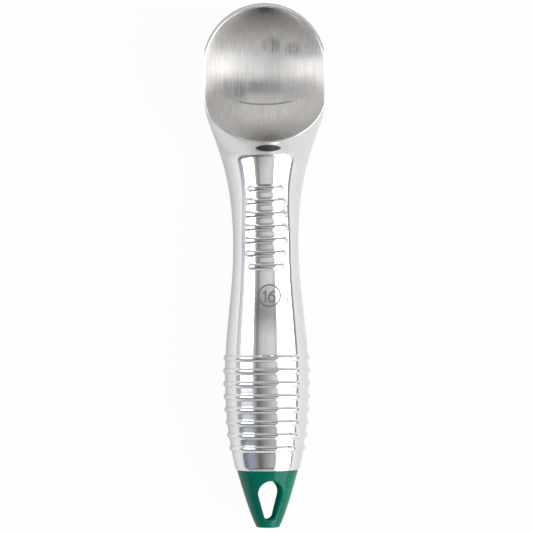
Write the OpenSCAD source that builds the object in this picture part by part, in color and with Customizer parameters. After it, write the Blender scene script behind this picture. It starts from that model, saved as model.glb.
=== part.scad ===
// Ice cream dipper: a one-piece cast handle and bowl, filled with a sealed heat-carrying charge,
// closed by a screwed plug with a sealing ring and by a coloured hanging cap pressed into its end.
// It lies on its back: +Z up out of the bowl, +Y from the cap towards the lip of the bowl.
// Lengths marked "from the cap end" run along the handle, in millimetres.

/* [Overall] */
// Length from the flat end of the cap to the lip of the bowl
overall_length = 202; // [185:1:220]
// Radial clearance between pieces that slide together
fit_gap = 0.1; // [0.05:0.05:0.2]

/* [Bowl] */
// Width across the outside of the bowl
bowl_width = 47; // [42:0.5:52]
// Length of the straight stretch of the bowl's sides
bowl_straight = 11.6; // [6:0.2:18]
// From the end of the straight sides to the rim above the neck
bowl_heel = 18.4; // [14:0.2:22]
// Height of the rim above the handle's centre line
rim_height = 17; // [15.5:0.5:18.5]
// Height of the upright band of wall below the rim
wall_drop = 8; // [5:0.5:10]
// Thickness of the casting under the hollow of the bowl
bowl_floor = 2.4; // [1.5:0.1:4]
// Width of the rim along the sides and above the neck
rim_width = 0.6; // [0.5:0.1:1.2]
// Width of the polished lip at the far end
lip_width = 1.6; // [1:0.1:2.5]

/* [Neck] */
// Diameter of the slimmest place of the handle
waist_d = 25.4; // [23:0.2:28]
// Slimmest place, from the cap end
waist_at = 109.5; // [104:0.5:112]
// Height of the neck's front above the centre line, just before the bowl
neck_front = 11.5; // [10.5:0.25:12.5]
// From the rim above the neck back to where the neck's front starts to rise
neck_setback = 6; // [5:0.5:8]
// Size of the fillet between the neck's front and the bowl's back
neck_fillet = 1; // [0.5:0.25:3]
// How far the neck's widest level lies below the centre line, just before the bowl
neck_dip = 9; // [6:0.5:10]
// Spread of the bowl's back towards the neck for each millimetre below the rim, just under the rim
skirt_start = 0.5; // [0.3:0.05:0.7]
// The same spread farther down
skirt_spread = 0.88; // [0.75:0.01:0.95]
// Depth over which the spread grows from one to the other
skirt_bend = 1.5; // [1:0.25:3]

/* [Grip] */
// Largest diameter of the grip between its rings
grip_d = 32.5; // [29:0.5:36]
// Largest diameter, from the cap end
grip_at = 58; // [52:1:64]
// Diameter of the metal where the cap meets it
seat_d = 24.6; // [22:0.2:27]
// Number of raised rings
ring_count = 8; // [4:1:10]
// Distance from ring to ring
ring_pitch = 4.97; // [4:0.01:5.5]
// First ring, from the cap end
ring_first = 31; // [29:0.5:34]
// Height of a ring above the grip
ring_height = 0.68; // [0.3:0.02:1.2]
// Radius of a ring's round back
ring_round = 1.4; // [1.2:0.1:1.8]

/* [Thumb ribs] */
// Number of ribs across the front of the neck
rib_count = 7; // [3:1:7]
// Distance from rib to rib
rib_pitch = 5; // [4:0.1:5.4]
// First rib, from the cap end
rib_first = 101.1; // [98:0.1:103]
// Thickness of a rib along the handle
rib_thick = 3.2; // [2.4:0.1:3.6]
// Height of a rib above the neck
rib_height = 0.9; // [0.4:0.1:1.2]
// Length of the middle rib
rib_long = 17.4; // [15:0.2:19]
// Length of the two outer ribs
rib_short = 14.2; // [12:0.2:15]

/* [Charge and plug] */
// Diameter of the bore that holds the charge
charge_d = 12.6; // [10:0.2:13.2]
// Metal between the end of the bore and the rim above the neck
charge_wall = 6; // [5:0.5:12]
// Diameter of the plug's shank
plug_d = 14; // [13.6:0.2:15]
// Length of the shank below the sealing ring
plug_length = 10; // [6:0.5:14]
// Diameter of the plug's head
plug_head_d = 16.4; // [16:0.2:16.8]
// Thickness of the plug's head
plug_head = 3; // [2.6:0.2:4]
// Width across the flats of the plug's hexagon socket
plug_key = 6; // [4:0.5:8]
// Depth of the hexagon socket
plug_key_depth = 2; // [1.5:0.1:2.2]
// Thickness of the squeezed sealing ring
seal_thick = 1.5; // [1:0.1:2]

/* [Cap] */
// Length of the cap from its flat end to the metal
cap_length = 22.3; // [20:0.1:25]
// Diameter of the cap where it meets the metal
cap_d = 23.8; // [21:0.2:24]
// Diameter of the cap near its flat end
cap_tip_d = 8.4; // [8:0.2:12]
// Rounding of the flat end's edge
cap_round = 0.6; // [0.3:0.1:1]
// Diameter of the spigot that holds the cap in the handle
spigot_d = 17; // [16.8:0.2:19]
// Length of the spigot
spigot_length = 6; // [4:0.5:8]
// Wall of the hollow spigot
spigot_wall = 2; // [1.2:0.1:3]
// Width of the hanging hole at its wide end
hole_wide = 9.5; // [7:0.1:10]
// Width of the hanging hole at its narrow end
hole_narrow = 4.8; // [3.5:0.1:5.5]
// Middle of the hole's wide end, from the cap end
hole_wide_at = 13.7; // [12:0.1:14.5]
// Middle of the hole's narrow end, from the cap end
hole_narrow_at = 5.4; // [5:0.1:6.5]
// Turn of the cap round the handle, as it was pressed in
cap_turn = 8; // [0:1:15]

/* [Hidden] */
$fn = 96;

metal_colour = [0.80, 0.81, 0.82];
plug_colour = [0.70, 0.71, 0.73];
charge_colour = [0.55, 0.78, 0.86];
seal_colour = [0.08, 0.08, 0.09];
cap_colour = [0.02, 0.42, 0.33];

// Radii and ends
bowl_r = bowl_width / 2;
waist_r = waist_d / 2;
grip_r = grip_d / 2;
seat_r = seat_d / 2;
last_ring_at = ring_first + (ring_count - 1) * ring_pitch;

// A soft start and stop between 0 and 1
function ease(t) = t <= 0 ? 0 : t >= 1 ? 1 : (1 - cos(180 * t)) / 2;

// Radius of the turned handle between the cap and the waist
function grip_at_d(d) =
    d >= grip_at
        ? waist_r + (grip_r - waist_r) * ease((waist_at - d) / (waist_at - grip_at))
        : grip_r - (grip_r - seat_r) * pow((grip_at - d) / (grip_at - cap_length), 2.2);

// The scoop lies level on its widest ring and on the back of its bowl
rest_height = max([for (i = [0 : ring_count - 1]) grip_at_d(ring_first + i * ring_pitch)]) + ring_height;

// Bowl, outside: centre of the round lip end, end of the straight sides, rim above the neck
lip_centre = overall_length - bowl_r;
heel_centre = lip_centre - bowl_straight;
heel_end = heel_centre - bowl_heel;
wall_foot = rim_height - wall_drop;

// Bowl, hollow: thin at the rim, thicker at the floor
hollow_r = bowl_r - rim_width;
hollow_lip_centre = overall_length - lip_width - hollow_r;
hollow_heel = bowl_heel - rim_width;
hollow_straight = hollow_lip_centre - heel_centre;
// How soon the hollow's straight sides round into an oval below its edge
hollow_ease = 24;
hollow_depth = wall_foot + rest_height - bowl_floor;

// Neck: its front is lowest a little before the rim
low_at = heel_end - neck_setback;
neck_span = heel_centre - waist_at;
// Inner handles of the curve that widens the neck into the bowl, as shares of its length
flare_start = 0.62;
flare_finish = 0.77;
// Step at the seam of the turned grip and the neck, inside the wall
seam_step = 0.02;

// Seat of the cap, sealing ring and plug, from the cap end
plug_seat_gap = 0.5;
head_outer = cap_length + spigot_length + plug_seat_gap;
seal_outer = head_outer + plug_head;
shoulder_at = seal_outer + seal_thick;
plug_end = shoulder_at + plug_length;
plug_hole_end = plug_end + 2;
socket_r = spigot_d / 2 + fit_gap;
charge_end = heel_end - charge_wall;
drill_point = 59;
seat_chamfer = 0.4;
seal_land = 0.3;

// Shares of the cap's curve and of the hollow
cap_curve = 0.8;
cap_steps = 14;

// Draws a closed solid through a list of outlines with equally many points
module loft(rings) {
    n = len(rings[0]);
    m = len(rings);
    polyhedron(
        points = [for (ring = rings) each ring],
        faces = concat(
            [[for (j = [n - 1 : -1 : 0]) j]],
            [[for (j = [0 : n - 1]) (m - 1) * n + j]],
            [for (i = [0 : m - 2], j = [0 : n - 1]) [i * n + j, (i + 1) * n + (j + 1) % n, (i + 1) * n + j]],
            [for (i = [0 : m - 2], j = [0 : n - 1]) [i * n + j, i * n + (j + 1) % n, (i + 1) * n + (j + 1) % n]]
        ),
        convexity = 6
    );
}

// Puts a form whose own frame has the cap end at 0 and the centre line along Y into the resting place
module in_place() {
    translate([0, -overall_length / 2, rest_height]) children();
}

// Turns a profile of radius and distance from the cap end round the handle's centre line
module turned(profile) {
    rotate([-90, 0, 0]) rotate_extrude() polygon(profile);
}

// Outline of the hollow seen from above, at a share of its reach from its deepest place, below the lip's centre
function hollow_outline(share, z, steps = 24) =
    let (sides = pow(share, hollow_ease))
    concat(
        [for (i = [0 : steps]) let (a = 180 * i / steps)
            [hollow_r * share * cos(a), hollow_lip_centre + hollow_r * share * sin(a), z]],
        [for (i = [0 : steps]) let (a = 180 * i / steps, straight = sin(a) + (1 - sin(a)) * sides) [
            -hollow_r * share * cos(a),
            hollow_lip_centre - share * (hollow_heel * sin(a) + hollow_straight * straight), z
        ]]
    );

// The hollow of the bowl: an upright band below the rim, round sides and a small flat floor
module bowl_hollow() {
    steps = 12;
    flat_from = 82;
    loft([
        hollow_outline(1, rim_height + 1),
        for (i = [0 : steps])
            let (b = flat_from * i / steps)
            hollow_outline(cos(b), wall_foot - hollow_depth * sin(b) / sin(flat_from))
    ]);
}

// Half width of the neck as shares: a curve with flat ends, read at a share of the neck's length
function flare_place(u) = 3 * flare_start * u * pow(1 - u, 2) + 3 * flare_finish * u * u * (1 - u) + pow(u, 3);
function flare_find(t, low = 0, high = 1, left = 14) =
    let (u = (low + high) / 2)
    left == 0 ? u : flare_place(u) < t ? flare_find(t, u, high, left - 1) : flare_find(t, low, u, left - 1);
function neck_half(d) =
    let (t = (d - waist_at) / neck_span, u = t <= 0 ? 0 : t >= 1 ? 1 : flare_find(t))
    waist_r - seam_step + (bowl_r - waist_r) * u * u * (3 - 2 * u);
function neck_top(d) = waist_r - seam_step - (waist_r - neck_front) * ease((d - waist_at) / (low_at - waist_at));
function neck_back(d) = seam_step - waist_r - (rest_height - waist_r) * ease((d - waist_at) / neck_span);
function neck_wide(d) =
    (wall_foot + neck_dip) * ease((d - low_at) / (heel_centre - low_at))
        - neck_dip * ease((d - waist_at) / (low_at - waist_at));

// Signed depths of a point in the two forms, in millimetres or nearly: negative inside
function neck_field(x, d, z) =
    let (half = neck_half(d), wide = neck_wide(d), rise = z > wide ? neck_top(d) - wide : wide - neck_back(d))
    half * (norm([x / half, (z - wide) / rise]) - 1);
function skirt_reach(fall) =
    skirt_spread * fall - (skirt_spread - skirt_start) * skirt_bend * (1 - exp(-fall / skirt_bend));
function bowl_field(x, d, z) =
    let (
        heel = bowl_heel + skirt_reach(min(max(rim_height - z, 0), rim_height)),
        along = d > lip_centre ? (d - lip_centre) / bowl_r : d < heel_centre ? (heel_centre - d) / heel : 0,
        down = max(0, wall_foot - z) / (wall_foot + rest_height)
    )
    bowl_r * (norm([x / bowl_r, along, down]) - 1);

// The bowl and the neck flow into each other, with a fillet that fades out along the shoulders
function blend(a, b, size) = min(a, b) - size * pow(max(size - abs(a - b), 0) / size, 2) / 4;
function head_field(x, d, z) =
    d >= heel_centre
        ? bowl_field(x, d, z)
        : blend(
            bowl_field(x, d, z), neck_field(x, d, z),
            seam_step + neck_fillet * (1 - ease((d - heel_end) / (heel_centre - heel_end)))
        );

// Sections fan out from square across the neck to flat in the plane of the rim, round a line above the neck
function fan_point(turn, x, away) = [x, low_at + away * sin(turn), rim_height - away * cos(turn)];
function fan_ray(turn, middle, a, reach) = fan_point(turn, reach * cos(a), middle - reach * sin(a));
function fan_find(turn, middle, a, low = 0, high = 45, left = 16) =
    let (reach = (low + high) / 2, p = fan_ray(turn, middle, a, reach))
    left == 0
        ? p
        : head_field(p[0], p[1], p[2]) < 0
            ? fan_find(turn, middle, a, reach, high, left - 1)
            : fan_find(turn, middle, a, low, reach, left - 1);
function fan_section(turn, steps) =
    let (mouth_middle = (heel_centre + lip_centre) / 2 - low_at, middle = rim_height + (mouth_middle - rim_height) * turn / 90)
    [for (i = [0 : steps - 1]) fan_find(turn, middle, 360 * i / steps)];
function neck_find(d, a, low = 0, high = 45, left = 16) =
    let (reach = (low + high) / 2)
    left == 0
        ? [reach * cos(a), d, reach * sin(a)]
        : head_field(reach * cos(a), d, reach * sin(a)) < 0
            ? neck_find(d, a, reach, high, left - 1)
            : neck_find(d, a, low, reach, left - 1);

// The neck and the outside of the bowl, from inside the turned grip up to the plane of the rim
module neck_and_bowl() {
    steps = 48;
    stations = 10;
    root = 3;
    inset = 1;
    near_turns = [0 : 3 : 27];
    far_turns = [30 : 6 : 84];
    loft(concat(
        [[for (i = [0 : steps - 1]) let (a = 360 * i / steps) [
            (waist_r - inset) * cos(a), waist_at - root, (waist_r - inset) * sin(a)
        ]]],
        [for (k = [0 : stations - 1])
            let (d = waist_at + (low_at - waist_at) * k / stations)
            [for (i = [0 : steps - 1]) neck_find(d, 360 * i / steps)]],
        [for (turn = near_turns) fan_section(turn, steps)],
        [for (turn = far_turns) fan_section(turn, steps)],
        [fan_section(87, steps), fan_section(90, steps)]
    ));
}

// A rib that follows the round front of the neck and sinks into it at both ends
module thumb_rib(i) {
    d = rib_first + i * rib_pitch;
    middle = (rib_count - 1) / 2;
    off = middle > 0 ? abs(i - middle) / middle : 0;
    half_length = (rib_long - (rib_long - rib_short) * off * off) / 2;
    front = neck_top(max(d, waist_at));
    rise = front - neck_wide(d);
    fall = rib_height + rise * (1 - sqrt(1 - pow(half_length / neck_half(d), 2)));
    outer = (half_length * half_length + fall * fall) / (2 * fall);
    reach = asin(half_length / outer) + 8;
    translate([0, d, front + rib_height - outer])
        rotate([90, 0, 0]) rotate([0, 0, 90 - reach])
            rotate_extrude(angle = 2 * reach) translate([outer - rib_thick / 2, 0]) circle(d = rib_thick);
}

// The turned part of the casting, from the seat of the cap to the waist
module grip_body() {
    grip_steps = 26;
    turned_length = waist_at - cap_length - seat_chamfer;
    turned(concat(
        [[0, cap_length], [seat_r - seat_chamfer, cap_length]],
        [for (i = [0 : grip_steps])
            let (d = cap_length + seat_chamfer + turned_length * i / grip_steps)
            [grip_at_d(d), d]],
        [[0, waist_at]]
    ));
}

module grip_rings() {
    for (i = [0 : ring_count - 1]) {
        d = ring_first + i * ring_pitch;
        translate([0, d, 0]) rotate([-90, 0, 0]) rotate_extrude()
            translate([grip_at_d(d) + ring_height - ring_round, 0]) circle(r = ring_round);
    }
}

// Socket of the cap, thread of the plug and bore of the charge, one behind the other
module bores() {
    turned([
        [0, cap_length - 1], [socket_r, cap_length - 1], [socket_r, shoulder_at],
        [plug_d / 2 + fit_gap, shoulder_at], [plug_d / 2 + fit_gap, plug_hole_end],
        [charge_d / 2, plug_hole_end], [charge_d / 2, charge_end - charge_d / 2 / tan(drill_point)],
        [0, charge_end]
    ]);
}

// The cast piece: turned grip with its rings, neck, bowl, ribs and the bores from the cap end
module dipper_casting() {
    color(metal_colour) in_place() difference() {
        union() {
            grip_body();
            grip_rings();
            neck_and_bowl();
            for (i = [0 : rib_count - 1]) thumb_rib(i);
        }
        bowl_hollow();
        bores();
    }
}

// The charge fills the bore up to the end of the plug
module heat_charge() {
    r = charge_d / 2 - fit_gap;
    color(charge_colour) in_place() turned([
        [0, plug_end], [plug_d / 2 - fit_gap, plug_end], [plug_d / 2 - fit_gap, plug_hole_end - fit_gap],
        [r, plug_hole_end - fit_gap], [r, charge_end - fit_gap - r / tan(drill_point)], [0, charge_end - fit_gap]
    ]);
}

// The plug's thread is a plain shank
module seal_plug() {
    color(plug_colour) in_place() difference() {
        turned([
            [0, head_outer], [plug_head_d / 2 - seat_chamfer, head_outer],
            [plug_head_d / 2, head_outer + seat_chamfer], [plug_head_d / 2, seal_outer],
            [plug_d / 2, seal_outer], [plug_d / 2, plug_end], [0, plug_end]
        ]);
        translate([0, head_outer - 1, 0]) rotate([-90, 0, 0])
            cylinder(d = plug_key / cos(30), h = plug_key_depth + 1, $fn = 6);
    }
}

// The sealing ring, squeezed flat between the plug's head and the shoulder in the handle
module plug_seal_ring() {
    inner = plug_d / 2 + fit_gap / 2;
    outer = socket_r - fit_gap / 2;
    color(seal_colour) in_place() turned([
        [inner, seal_outer + seal_land], [inner + seal_land, seal_outer], [outer - seal_land, seal_outer],
        [outer, seal_outer + seal_land], [outer, shoulder_at - seal_land], [outer - seal_land, shoulder_at],
        [inner + seal_land, shoulder_at], [inner, shoulder_at - seal_land]
    ]);
}

// Outline of the hanging hole, seen from the front: two round ends and straight sides
module hanging_hole() {
    steps = 20;
    big = hole_wide / 2;
    small = hole_narrow / 2;
    lean = asin((big - small) / (hole_wide_at - hole_narrow_at));
    polygon(concat(
        [for (i = [0 : steps])
            let (a = -lean + (180 + 2 * lean) * i / steps)
            [big * cos(a), hole_wide_at + big * sin(a)]],
        [for (i = [0 : steps])
            let (a = 180 + lean + (180 - 2 * lean) * i / steps)
            [small * cos(a), hole_narrow_at + small * sin(a)]]
    ));
}

function cap_radius(d) = cap_tip_d / 2 + (cap_d - cap_tip_d) / 2 * pow(d / cap_length, cap_curve);

// The cap: a round tapered body with a hollow spigot and a hole right through it
module hanging_cap() {
    color(cap_colour) in_place() rotate([0, cap_turn, 0]) difference() {
        turned(concat(
            [[0, 0], [cap_radius(cap_round) - cap_round, 0]],
            [for (i = [0 : cap_steps])
                let (d = cap_round + (cap_length - cap_round) * i / cap_steps)
                [cap_radius(d), d]],
            [
                [spigot_d / 2, cap_length], [spigot_d / 2, cap_length + spigot_length - seat_chamfer],
                [spigot_d / 2 - seat_chamfer, cap_length + spigot_length],
                [spigot_d / 2 - spigot_wall, cap_length + spigot_length],
                [spigot_d / 2 - spigot_wall, cap_length], [0, cap_length]
            ]
        ));
        translate([0, 0, -cap_d]) linear_extrude(2 * cap_d) hanging_hole();
    }
}

dipper_casting();
heat_charge();
seal_plug();
plug_seal_ring();
hanging_cap();
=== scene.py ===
"""Ice cream dipper: polished one-piece casting with a brushed bowl, and a glossy plastic hanging cap.

The frame gives the pieces' places. The casting and the cap are modelled again with finer surfaces, round
edges and their marks; the sealed pieces inside the handle keep their solids and get their finishes.
Sizes are in millimetres and start at the cap's flat end, like those of the real tool. The frame, the lights
and the places of marks in a finish are in metres.
"""

import math

import bmesh
import bpy
import numpy as np
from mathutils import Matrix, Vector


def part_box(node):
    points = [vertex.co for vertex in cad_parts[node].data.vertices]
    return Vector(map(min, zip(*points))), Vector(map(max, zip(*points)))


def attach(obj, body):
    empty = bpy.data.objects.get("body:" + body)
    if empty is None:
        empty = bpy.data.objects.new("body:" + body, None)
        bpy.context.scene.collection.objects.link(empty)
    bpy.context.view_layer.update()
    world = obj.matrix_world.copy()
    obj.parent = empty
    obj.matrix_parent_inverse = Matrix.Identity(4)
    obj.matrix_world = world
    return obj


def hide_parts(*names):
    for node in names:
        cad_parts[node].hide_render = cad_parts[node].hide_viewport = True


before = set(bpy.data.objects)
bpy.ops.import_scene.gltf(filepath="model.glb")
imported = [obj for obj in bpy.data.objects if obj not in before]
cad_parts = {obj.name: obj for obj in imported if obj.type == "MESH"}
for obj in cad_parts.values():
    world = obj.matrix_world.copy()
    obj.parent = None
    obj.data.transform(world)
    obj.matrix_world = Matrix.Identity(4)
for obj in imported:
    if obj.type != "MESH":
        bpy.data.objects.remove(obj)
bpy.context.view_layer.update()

MM = 0.001

# Sizes taken from the frame
CASTING_LOW, CASTING_HIGH = (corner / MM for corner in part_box("dipper_casting"))
CAP_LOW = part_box("hanging_cap")[0] / MM
OVERALL_LENGTH = CASTING_HIGH.y - CAP_LOW.y
BOWL_WIDTH = CASTING_HIGH.x - CASTING_LOW.x
CAP_LENGTH = CASTING_LOW.y - CAP_LOW.y

# Bowl
BOWL_STRAIGHT = 11.6
BOWL_HEEL = 18.4
RIM_HEIGHT = 17.0
WALL_DROP = 8.0
BOWL_FLOOR = 2.4
RIM_WIDTH = 0.6
LIP_WIDTH = 1.6
HOLLOW_EASE = 24
EDGE_SHARE = 0.36
EDGE_ROUND = 0.3

# Neck
WAIST_D = 25.4
WAIST_AT = 109.5
NECK_FRONT = 11.5
NECK_SETBACK = 6.0
NECK_FILLET = 1.0
NECK_DIP = 9.0
SKIRT_START, SKIRT_SPREAD, SKIRT_BEND = 0.5, 0.88, 1.5
FLARE_START, FLARE_FINISH = 0.62, 0.77

# Grip and its rings
GRIP_D = 32.5
GRIP_AT = 58.0
SEAT_D = 24.6
SEAT_EDGE = 0.4
GRIP_CURVE = 2.2
RING_COUNT = 8
RING_PITCH = 4.97
RING_FIRST = 31.0
RING_HEIGHT = 0.68
RING_ROUND = 1.4
RING_FOOT = 0.3

# Thumb ribs
RIB_COUNT = 7
RIB_PITCH = 5.0
RIB_FIRST = 101.1
RIB_THICK = 3.2
RIB_HEIGHT = 0.9
RIB_LONG = 17.4
RIB_SHORT = 14.2
RIB_FOOT = 0.25

# Bores behind the cap: socket, plug hole and charge
SOCKET_R = 8.6
SHOULDER_AT = 33.3
PLUG_HOLE_R = 7.1
PLUG_HOLE_END = 45.3
CHARGE_R = 6.3
CHARGE_WALL = 6.0
DRILL_POINT = math.radians(59)
BORE_EDGE = 0.2
BORE_TIP_SHARE = 0.02

# Cap
CAP_D = 23.8
CAP_TIP_D = 8.4
CAP_CURVE = 0.8
CAP_TIP_ROUND = 0.9
CAP_TOP_ROUND = 0.3
CAP_FOOT_LEAN, CAP_FOOT_LAND = 0.12, 1.1
CAP_FLAT_R = 1.5
CAP_TURN = math.radians(8)
SPIGOT_R = 8.5
SPIGOT_LENGTH = 6.0
SPIGOT_WALL = 2.0
HOLE_WIDE_R, HOLE_WIDE_AT = 4.75, 13.7
HOLE_NARROW_R, HOLE_NARROW_AT = 2.4, 5.4
HOLE_EDGE = 0.45
HOLE_DRAFT = 0.2
HOLE_WALL_ROWS, HOLE_EDGE_ROWS, FOOT_ROWS = 5, 7, 8

# Raised number in its circle, on the front of the neck: places are across and along from its middle
MARK_AT = (1.3, 89.9)
MARK_R = 4.15
MARK_LINE, MARK_RISE = 0.72, 0.24
DIGIT_LINE, DIGIT_RISE = 0.8, 0.3
MARK_SINK, END_LEAST = 0.12, 0.02
STEM_AT, STEM_LOW, STEM_HIGH = -1.55, -2.25, 1.65
FLAG_AT, FLAG_RUN = (-2.5, 1.05), (0.95, 0.6)
FLAG_LINE, FLAG_RISE = 0.8 * DIGIT_LINE, 0.9 * DIGIT_RISE
SPINE_AT, SPINE_SIZE, SPINE_TURNS = (1.7, -1.05), (2.05, 2.55), (88, 180)
LOOP_AT, LOOP_SIZE, LOOP_TURNS = (0.8, -1.05), (1.15, 1.35), (180, 540)

# Columns round the casting: steps in degrees at the front and elsewhere, and how far the front goes
FRONT_STEP, SIDE_STEP = 1.1, 4.0
FRONT_REACH, FRONT_FADE = 52.0, 10.0

# Rows of the casting: over rings, ribs and edges, between them, round the neck's bend and down the hollow
RING_REACH, RIB_REACH = math.radians(58), math.radians(66)
BAR_ROWS, CORNER_ROWS, RIM_ROWS = 17, 6, 7
GRIP_STEP, NECK_STEP = 1.3, 0.8
SEAT_GAP, RIB_GAP = 0.1, 0.6
BEND_TURNS = np.radians(np.concatenate([np.arange(0, 24, 1.5), np.arange(24, 84, 2), [84, 86, 87.5]]))
WALL_GAP, WALL_ROWS = 1.2, 3
FLOOR_TURN, FLOOR_ROWS = math.radians(88), 46

# Farther out than any surface lies, from the middle of the casting or of the hole
FAR = 45.0
HOLE_FAR = 12.0

# Grid of the cap: points over a half's top edge and down its side, and rings of points from hole to border
CAP_TOP, CAP_SIDE, CAP_RINGS = 96, 44, 26
CAP_GRID_AT = (HOLE_WIDE_AT + HOLE_NARROW_AT) / 2 + 1
CAP_RING_SPREAD = 1.15
MIDDLE_R = 0.01
WELD = 2e-6

# Polished metal: colours, slow swell, fine lines to the metre, and height of both
POLISH_LOW, POLISH_HIGH = (0.86, 0.865, 0.875, 1), (0.93, 0.93, 0.93, 1)
POLISH_SWELL = 0.35
POLISH_LINES, POLISH_LINE_SHARE = (5200.0, 160.0, 5200.0), 0.05
POLISH_RELIEF = 0.00002

# Painted dark reflection in the corner between the neck and the bowl, and a haze round it that is rougher and
# painted a little darker
DARK_REFLECTION_AT, DARK_REFLECTION_SIZE, DARK_REFLECTION_TONE = (0.0012, 0.0455, 0.031), (0.005, 0.0013, 0.007), (0.07, 0.07, 0.075, 1)
HAZE_AND_SHADE_SIZE, HAZE_AND_SHADE_SOFT, HAZE_AND_SHADE_SHARE = (0.008, 0.003, 0.012), 0.4, 0.25

# Brushed metal: its strokes run along the handle, uneven in height and leaning a little along their length
BRUSH_MAP = "brush"
BRUSH_SPREAD = 60.0
BRUSHED_LOW, BRUSHED_HIGH = (0.77, 0.755, 0.745, 1), (1.0, 0.99, 0.975, 1)
BRUSHED_ROUGH, STROKE_ROUGH, BRUSHED_WEAR = 0.3, 0.1, 0.03
STROKE_LINES, STROKE_RELIEF = (1900.0, 24.0, 120.0), 0.00035
LEAN_LINES, STROKE_LEAN = (700.0, 30.0, 150.0), 0.06

# Patches of painted dark reflection in the bowl, laid along the deep strokes: middles and radii
PAINTED_REFLECTION_PATCHES = [
    ((0.003, 0.0866, 0.01), (0.0034, 0.0028, 0.03)),
    ((0.0111, 0.085, 0.01), (0.0027, 0.0022, 0.03)),
    ((-0.0102, 0.0695, 0.01), (0.0028, 0.0036, 0.03)),
]
PATCH_SOFT, PATCH_SHARE, DEEP_STROKE = 0.5, 0.75, (0.4, 0.6)

# Painted dark line and band of painted shade in the bowl, with a lighter gap left in the band: each pair runs
# from outside to full inside
PAINTED_DARK_TONE = (0.3, 0.3, 0.31, 1)
PAINTED_LINE_AT, PAINTED_LINE_CURVE, PAINTED_LINE_HALF = 0.0635, 10.0, 0.00035
PAINTED_LINE_SOFT, PAINTED_LINE_REACH, PAINTED_LINE_SHARE = 0.6, (0.013, 0.008), 0.75
# Band of painted shade past the line, and the gap left unpainted in it
BAND_START, BAND_STOP, BAND_REACH, BAND_SHARE = (-0.0002, 0.0006), (0.0098, 0.0072), (0.021, 0.013), 0.16
BAND_GAP_LEFT, BAND_GAP_RIGHT, BAND_GAP_STOP = (-0.0085, -0.0065), (0.0078, 0.0058), (0.0052, 0.0036)

# Cast skin, plastics and the pieces inside the handle
CAST_LOW, CAST_HIGH = (0.15, 0.15, 0.155, 1), (0.19, 0.19, 0.195, 1)
CAP_LOW_TONE, CAP_HIGH_TONE = (0.0, 0.12, 0.08, 1), (0.0, 0.15, 0.1, 1)
# The hole's wall is painted a lighter green than the body: painted light on the same plastic
LIT_HOLE_LOW_TONE, LIT_HOLE_HIGH_TONE = (0.0, 0.26, 0.19, 1), (0.0, 0.32, 0.235, 1)
PEEL_RELIEF = 0.000004
TURNED_LINES, TURNED_RELIEF = (250.0, 6000.0, 250.0), 0.00002
TURNED_ROUGH, TURNED_RING_ROUGH = 0.22, 0.2
RUBBER_LOW, RUBBER_HIGH, RUBBER_RELIEF = (0.01, 0.01, 0.011, 1), (0.025, 0.025, 0.026, 1), 0.00002
CHARGE_LOW, CHARGE_HIGH = (0.53, 0.76, 0.84, 1), (0.57, 0.8, 0.88, 1)

# Nearly all values of a noise lie between these, and the finer lines of a streak are so much finer
NOISE_LOW, NOISE_HIGH = 0.3, 0.7
FINER = 3.1

# Lamps: the power that gives each square metre a radiance of 1, and the softboxes' radiance
LAMP_POWER = math.pi
RIGHT_LIGHT, LEFT_LIGHT = 2.8, 2.5

# Softboxes: name, distance, turn from straight up and half width in degrees, ends along the handle, radiance
SOFTBOXES = [
    ("upper right softbox", 0.7, 49, 17.5, (-1.1, 0.24), RIGHT_LIGHT),
    ("lower right softbox", 0.7, 76.5, 10.5, (-1.4, 0.09), RIGHT_LIGHT),
    ("left softbox", 0.35, -57, 18.5, (-0.065, 0.16), LEFT_LIGHT),
]

# Tones of the room by the turn about the handle from straight up, in degrees. The room changes along the
# handle: ahead and far lie beyond the bowl, near, back and behind towards the cap's end.
ROOM_TONES = [
    (-100, (0.55, 0.57, 0.62)), (-88, (0.66, 0.68, 0.72)), (-76, (0.74, 0.76, 0.8)), (-66, 0.7), (-40, 0.6),
    (-33, 0.42), (-27, 0.22), (-22, 0.42), (-13, 0.58), (10, 0.7), (21, 0.7), (24, 0.6), (32, 0.6),
    (84, 0.75), (88, (0.25, 0.26, 0.3)), (97, (0.3, 0.31, 0.35)), (102, 0.75),
]
NEAR_TONES = [
    (-100, (0.46, 0.49, 0.56)), (-80, (0.42, 0.45, 0.52)), (-70, (0.9, 0.92, 0.98)), (-46, 0.85), (-36, 0.5),
    (-25, 0.15), (-14, 0.25), (-3, 0.35), (8, 0.5), (17, 0.63), (27, 0.7), (34, 0.8), (86, 0.5),
    (90, (0.25, 0.26, 0.3)), (97, (0.3, 0.31, 0.35)), (102, 0.75),
]
BACK_TONES = [
    (-100, (0.3, 0.33, 0.4)), (-85, (0.17, 0.19, 0.24)), (-75, (0.21, 0.23, 0.29)),
    (-65, (0.32, 0.34, 0.41)), (-45, (0.3, 0.32, 0.37)), (-35, 0.22), (-25, 0.13), (-14, 0.22), (-3, 0.32),
    (8, 0.39), (17, 0.46), (27, 0.45), (34, 0.6), (86, 0.5), (92, 0.4), (102, 0.7),
]
BEHIND_TONES = [
    (-110, (0.3, 0.32, 0.38)), (-75, (0.23, 0.25, 0.31)), (-45, (0.13, 0.14, 0.17)), (-30, 0.11), (0, 0.15),
    (30, 0.2), (50, 0.24), (60, 0.4), (80, 0.6), (100, 0.6),
]
AHEAD_TONES = [
    (-90, 0.4), (-60, 0.3), (-45, 0.05), (-30, 0.04), (30, 0.04), (45, 0.05), (60, 0.2), (90, 0.3),
]

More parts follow.
